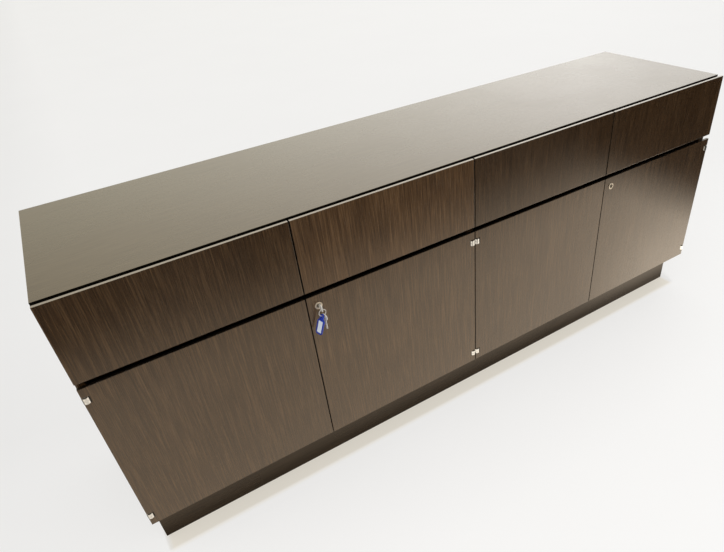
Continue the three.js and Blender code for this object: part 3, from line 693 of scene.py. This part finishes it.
def footprint(graph, spot):
    """One under the object, where the floor's painted shadow is tinted warm as by light off its wood, and
    nought around it.
    """
    spans = {
        "X": (cad_low.x + UNDER_END_INSET, cad_high.x - UNDER_END_INSET),
        "Y": (FRONT_FACE + UNDER_FRONT_INSET, cad_high.y),
    }
    inside = 1.0
    for axis, (start, stop) in spans.items():
        begin = graph.remap(spot[axis], start - UNDER_BLEND_OUT, start + UNDER_BLEND_IN)
        end = graph.remap(spot[axis], stop - UNDER_BLEND_IN, stop + UNDER_BLEND_OUT, 1.0, 0.0)
        inside = graph.product(inside, begin, end)
    return inside


def floor_material():
    """Pale floor with a painted warm shadow under the object, a glow for the camera with painted light, and
    painted light and shade of its own in reflections.
    """
    material, graph, shader = new_material("floor")
    place = graph.place()
    spot = graph.split(place)
    under = footprint(graph, spot)
    pale = graph.mix(graph.noise(place, FLOOR_CLOUD_SCALE), FLOOR_SHADE, FLOOR_PALE)
    # Painted warm shadow in the floor's colour under the object
    graph.put(shader.inputs["Base Color"], graph.mix(under, pale, UNDER_PAINTED_SHADOW))
    shader.inputs["Roughness"].default_value = FLOOR_ROUGHNESS
    shader.inputs["Specular IOR Level"].default_value = FLOOR_SHINE
    ahead = graph.math("SUBTRACT", FRONT_FACE, spot["Y"])
    along_front = graph.math("SUBTRACT", spot["X"], ahead)
    last = graph.product(graph.remap(along_front, *MIRROR_LAST), graph.remap(ahead, *MIRROR_LAST_GAIN))
    right = graph.product(graph.remap(along_front, *MIRROR_ALONG), graph.math("ADD", last, 1.0))
    far_right = graph.remap(spot["X"], *MIRROR_FAR_RIGHT)
    near = graph.product(graph.remap(ahead, *MIRROR_AHEAD), graph.remap(ahead, *MIRROR_UNDER))
    level = graph.product(near, right, far_right)
    painted_reflection = graph.add("ShaderNodeEmission", {"Color": PAINTED_REFLECTION_TINT, "Strength": level})
    glow = graph.product(graph.remap(ahead, *GLOW_AHEAD), graph.remap(spot["X"], *GLOW_ACROSS))
    # Painted warm shadow in the camera's glow under the object
    tint = graph.mix(under, GLOW_TINT, UNDER_PAINTED_SHADOW)
    white = graph.add("ShaderNodeEmission", {"Color": tint, "Strength": glow})
    path = graph.add("ShaderNodeLightPath").outputs
    seen = graph.product(path["Is Camera Ray"], GLOW_SHARE)
    joined = graph.add("ShaderNodeMixShader", {0: seen, 1: shader.outputs[0], 2: white.outputs[0]})
    inputs = {0: path["Is Glossy Ray"], 1: joined.outputs[0], 2: painted_reflection.outputs[0]}
    joined = graph.add("ShaderNodeMixShader", inputs)
    graph.put(graph.tree.nodes["Material Output"].inputs["Surface"], joined.outputs[0])
    return material


corners = [(-FLOOR_REACH, -FLOOR_REACH), (FLOOR_REACH, -FLOOR_REACH)]
corners += [(-x, -y) for x, y in corners]
floor_mesh = bpy.data.meshes.new("floor")
floor_mesh.from_pydata([(x, y, FLOOR) for x, y in corners], [], [tuple(range(len(corners)))])
floor_mesh.materials.append(floor_material())
floor = bpy.data.objects.new("floor", floor_mesh)
scene.collection.objects.link(floor)


def light_room(world):
    """White to the camera, a soft light all round, and a room of its own in reflections."""
    world.use_nodes = True
    graph = Graph(world.node_tree)
    towards = graph.split(graph.add("ShaderNodeTexCoord").outputs["Generated"])
    right = graph.product(graph.remap(towards["X"], *ROOM_ACROSS), graph.remap(towards["X"], *ROOM_END))
    walls = graph.product(graph.remap(towards["Y"], *ROOM_DEPTH), right)
    room = graph.math("MAXIMUM", walls, graph.remap(towards["Z"], *ROOM_CEILING))
    path = graph.add("ShaderNodeLightPath").outputs
    seen = graph.math("ADD", path["Is Camera Ray"], path["Is Transmission Ray"], clamp=True)
    strength = graph.remap(path["Is Glossy Ray"], 0.0, 1.0, AMBIENT, room)
    strength = graph.remap(seen, 0.0, 1.0, strength, ROOM_WHITE)
    warm = graph.mix(graph.remap(towards["X"], *ROOM_WARMTH), ROOM_LEFT_TINT, ROOM_RIGHT_TINT)
    tint = graph.mix(path["Is Glossy Ray"], PLAIN_WHITE, warm)
    background = graph.add("ShaderNodeBackground", {"Color": tint, "Strength": strength})
    graph.add("ShaderNodeOutputWorld", {"Surface": background.outputs[0]})


scene.world = bpy.data.worlds.new("studio")
light_room(scene.world)

# Ceiling light, almost straight down
sun_data = bpy.data.lights.new("ceiling_light", "SUN")
sun_data.energy = SUN_STRENGTH
sun_data.angle = SUN_ANGLE
sun = bpy.data.objects.new("ceiling_light", sun_data)
sun.rotation_euler = SUN_TILT
scene.collection.objects.link(sun)

# Camera
camera_data = bpy.data.cameras.new("camera")
camera_data.sensor_width = SENSOR_WIDTH
camera_data.lens = CAMERA_LENS
camera_data.shift_x, camera_data.shift_y = CAMERA_SHIFT
camera = bpy.data.objects.new("camera", camera_data)
camera.location = CAMERA_PLACE + Vector((0.0, FRONT_FACE, FLOOR))
camera.rotation_euler = CAMERA_ANGLES
scene.collection.objects.link(camera)
scene.camera = camera
scene.view_settings.view_transform = "Standard"
